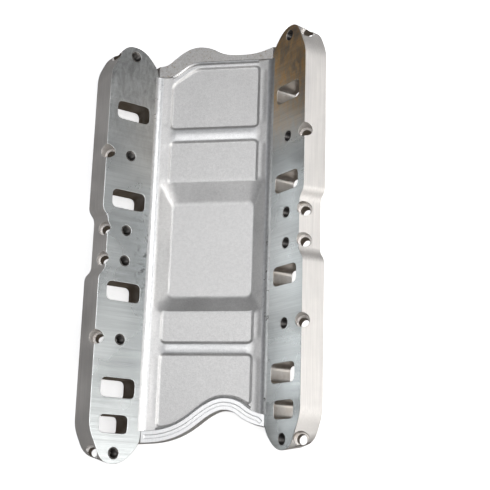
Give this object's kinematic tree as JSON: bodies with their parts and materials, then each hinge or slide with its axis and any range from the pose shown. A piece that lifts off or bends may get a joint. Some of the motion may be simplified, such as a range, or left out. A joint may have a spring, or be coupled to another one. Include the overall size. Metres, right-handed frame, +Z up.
{
  "type": "intake manifold",
  "caption": "Lower intake base of a V8: two sloped, staggered port rails joined by a recessed valley tray, with end rails and steel thread inserts.",
  "frame": {"origin": "centre of the footprint, at the lowest face (the flat underside of the tray's recess)", "axes": "+Y along the rails to the rear end (the bulged end rail), +X across towards the rail that sits further to the rear, +Z up, the way the machined port faces open"},
  "size_m": [0.2812, 0.5228, 0.0674],
  "materials": {
    "machined_aluminium": "machined",
    "end_rail_aluminium": "machined, bright",
    "blasted_aluminium": "blasted casting",
    "weld_aluminium": "dressed weld",
    "insert_steel": "dark thread"
  },
  "bodies": {
    "root": {"left_port_rail": "machined_aluminium", "right_port_rail": "machined_aluminium", "valley_tray": "blasted_aluminium", "front_end_rail": "end_rail_aluminium", "rear_end_rail": "blasted_aluminium", "left_seam_weld": "weld_aluminium", "right_seam_weld": "weld_aluminium", "front_rail_weld": "weld_aluminium", "rear_rail_weld": "weld_aluminium", "left_thread_insert_1": "insert_steel", "left_thread_insert_2": "insert_steel", "left_thread_insert_3": "insert_steel", "left_thread_insert_4": "insert_steel", "left_thread_insert_5": "insert_steel", "left_thread_insert_6": "insert_steel", "right_thread_insert_1": "insert_steel", "right_thread_insert_2": "insert_steel", "right_thread_insert_3": "insert_steel", "right_thread_insert_4": "insert_steel", "right_thread_insert_5": "insert_steel", "right_thread_insert_6": "insert_steel"}
  },
  "joints": []
}
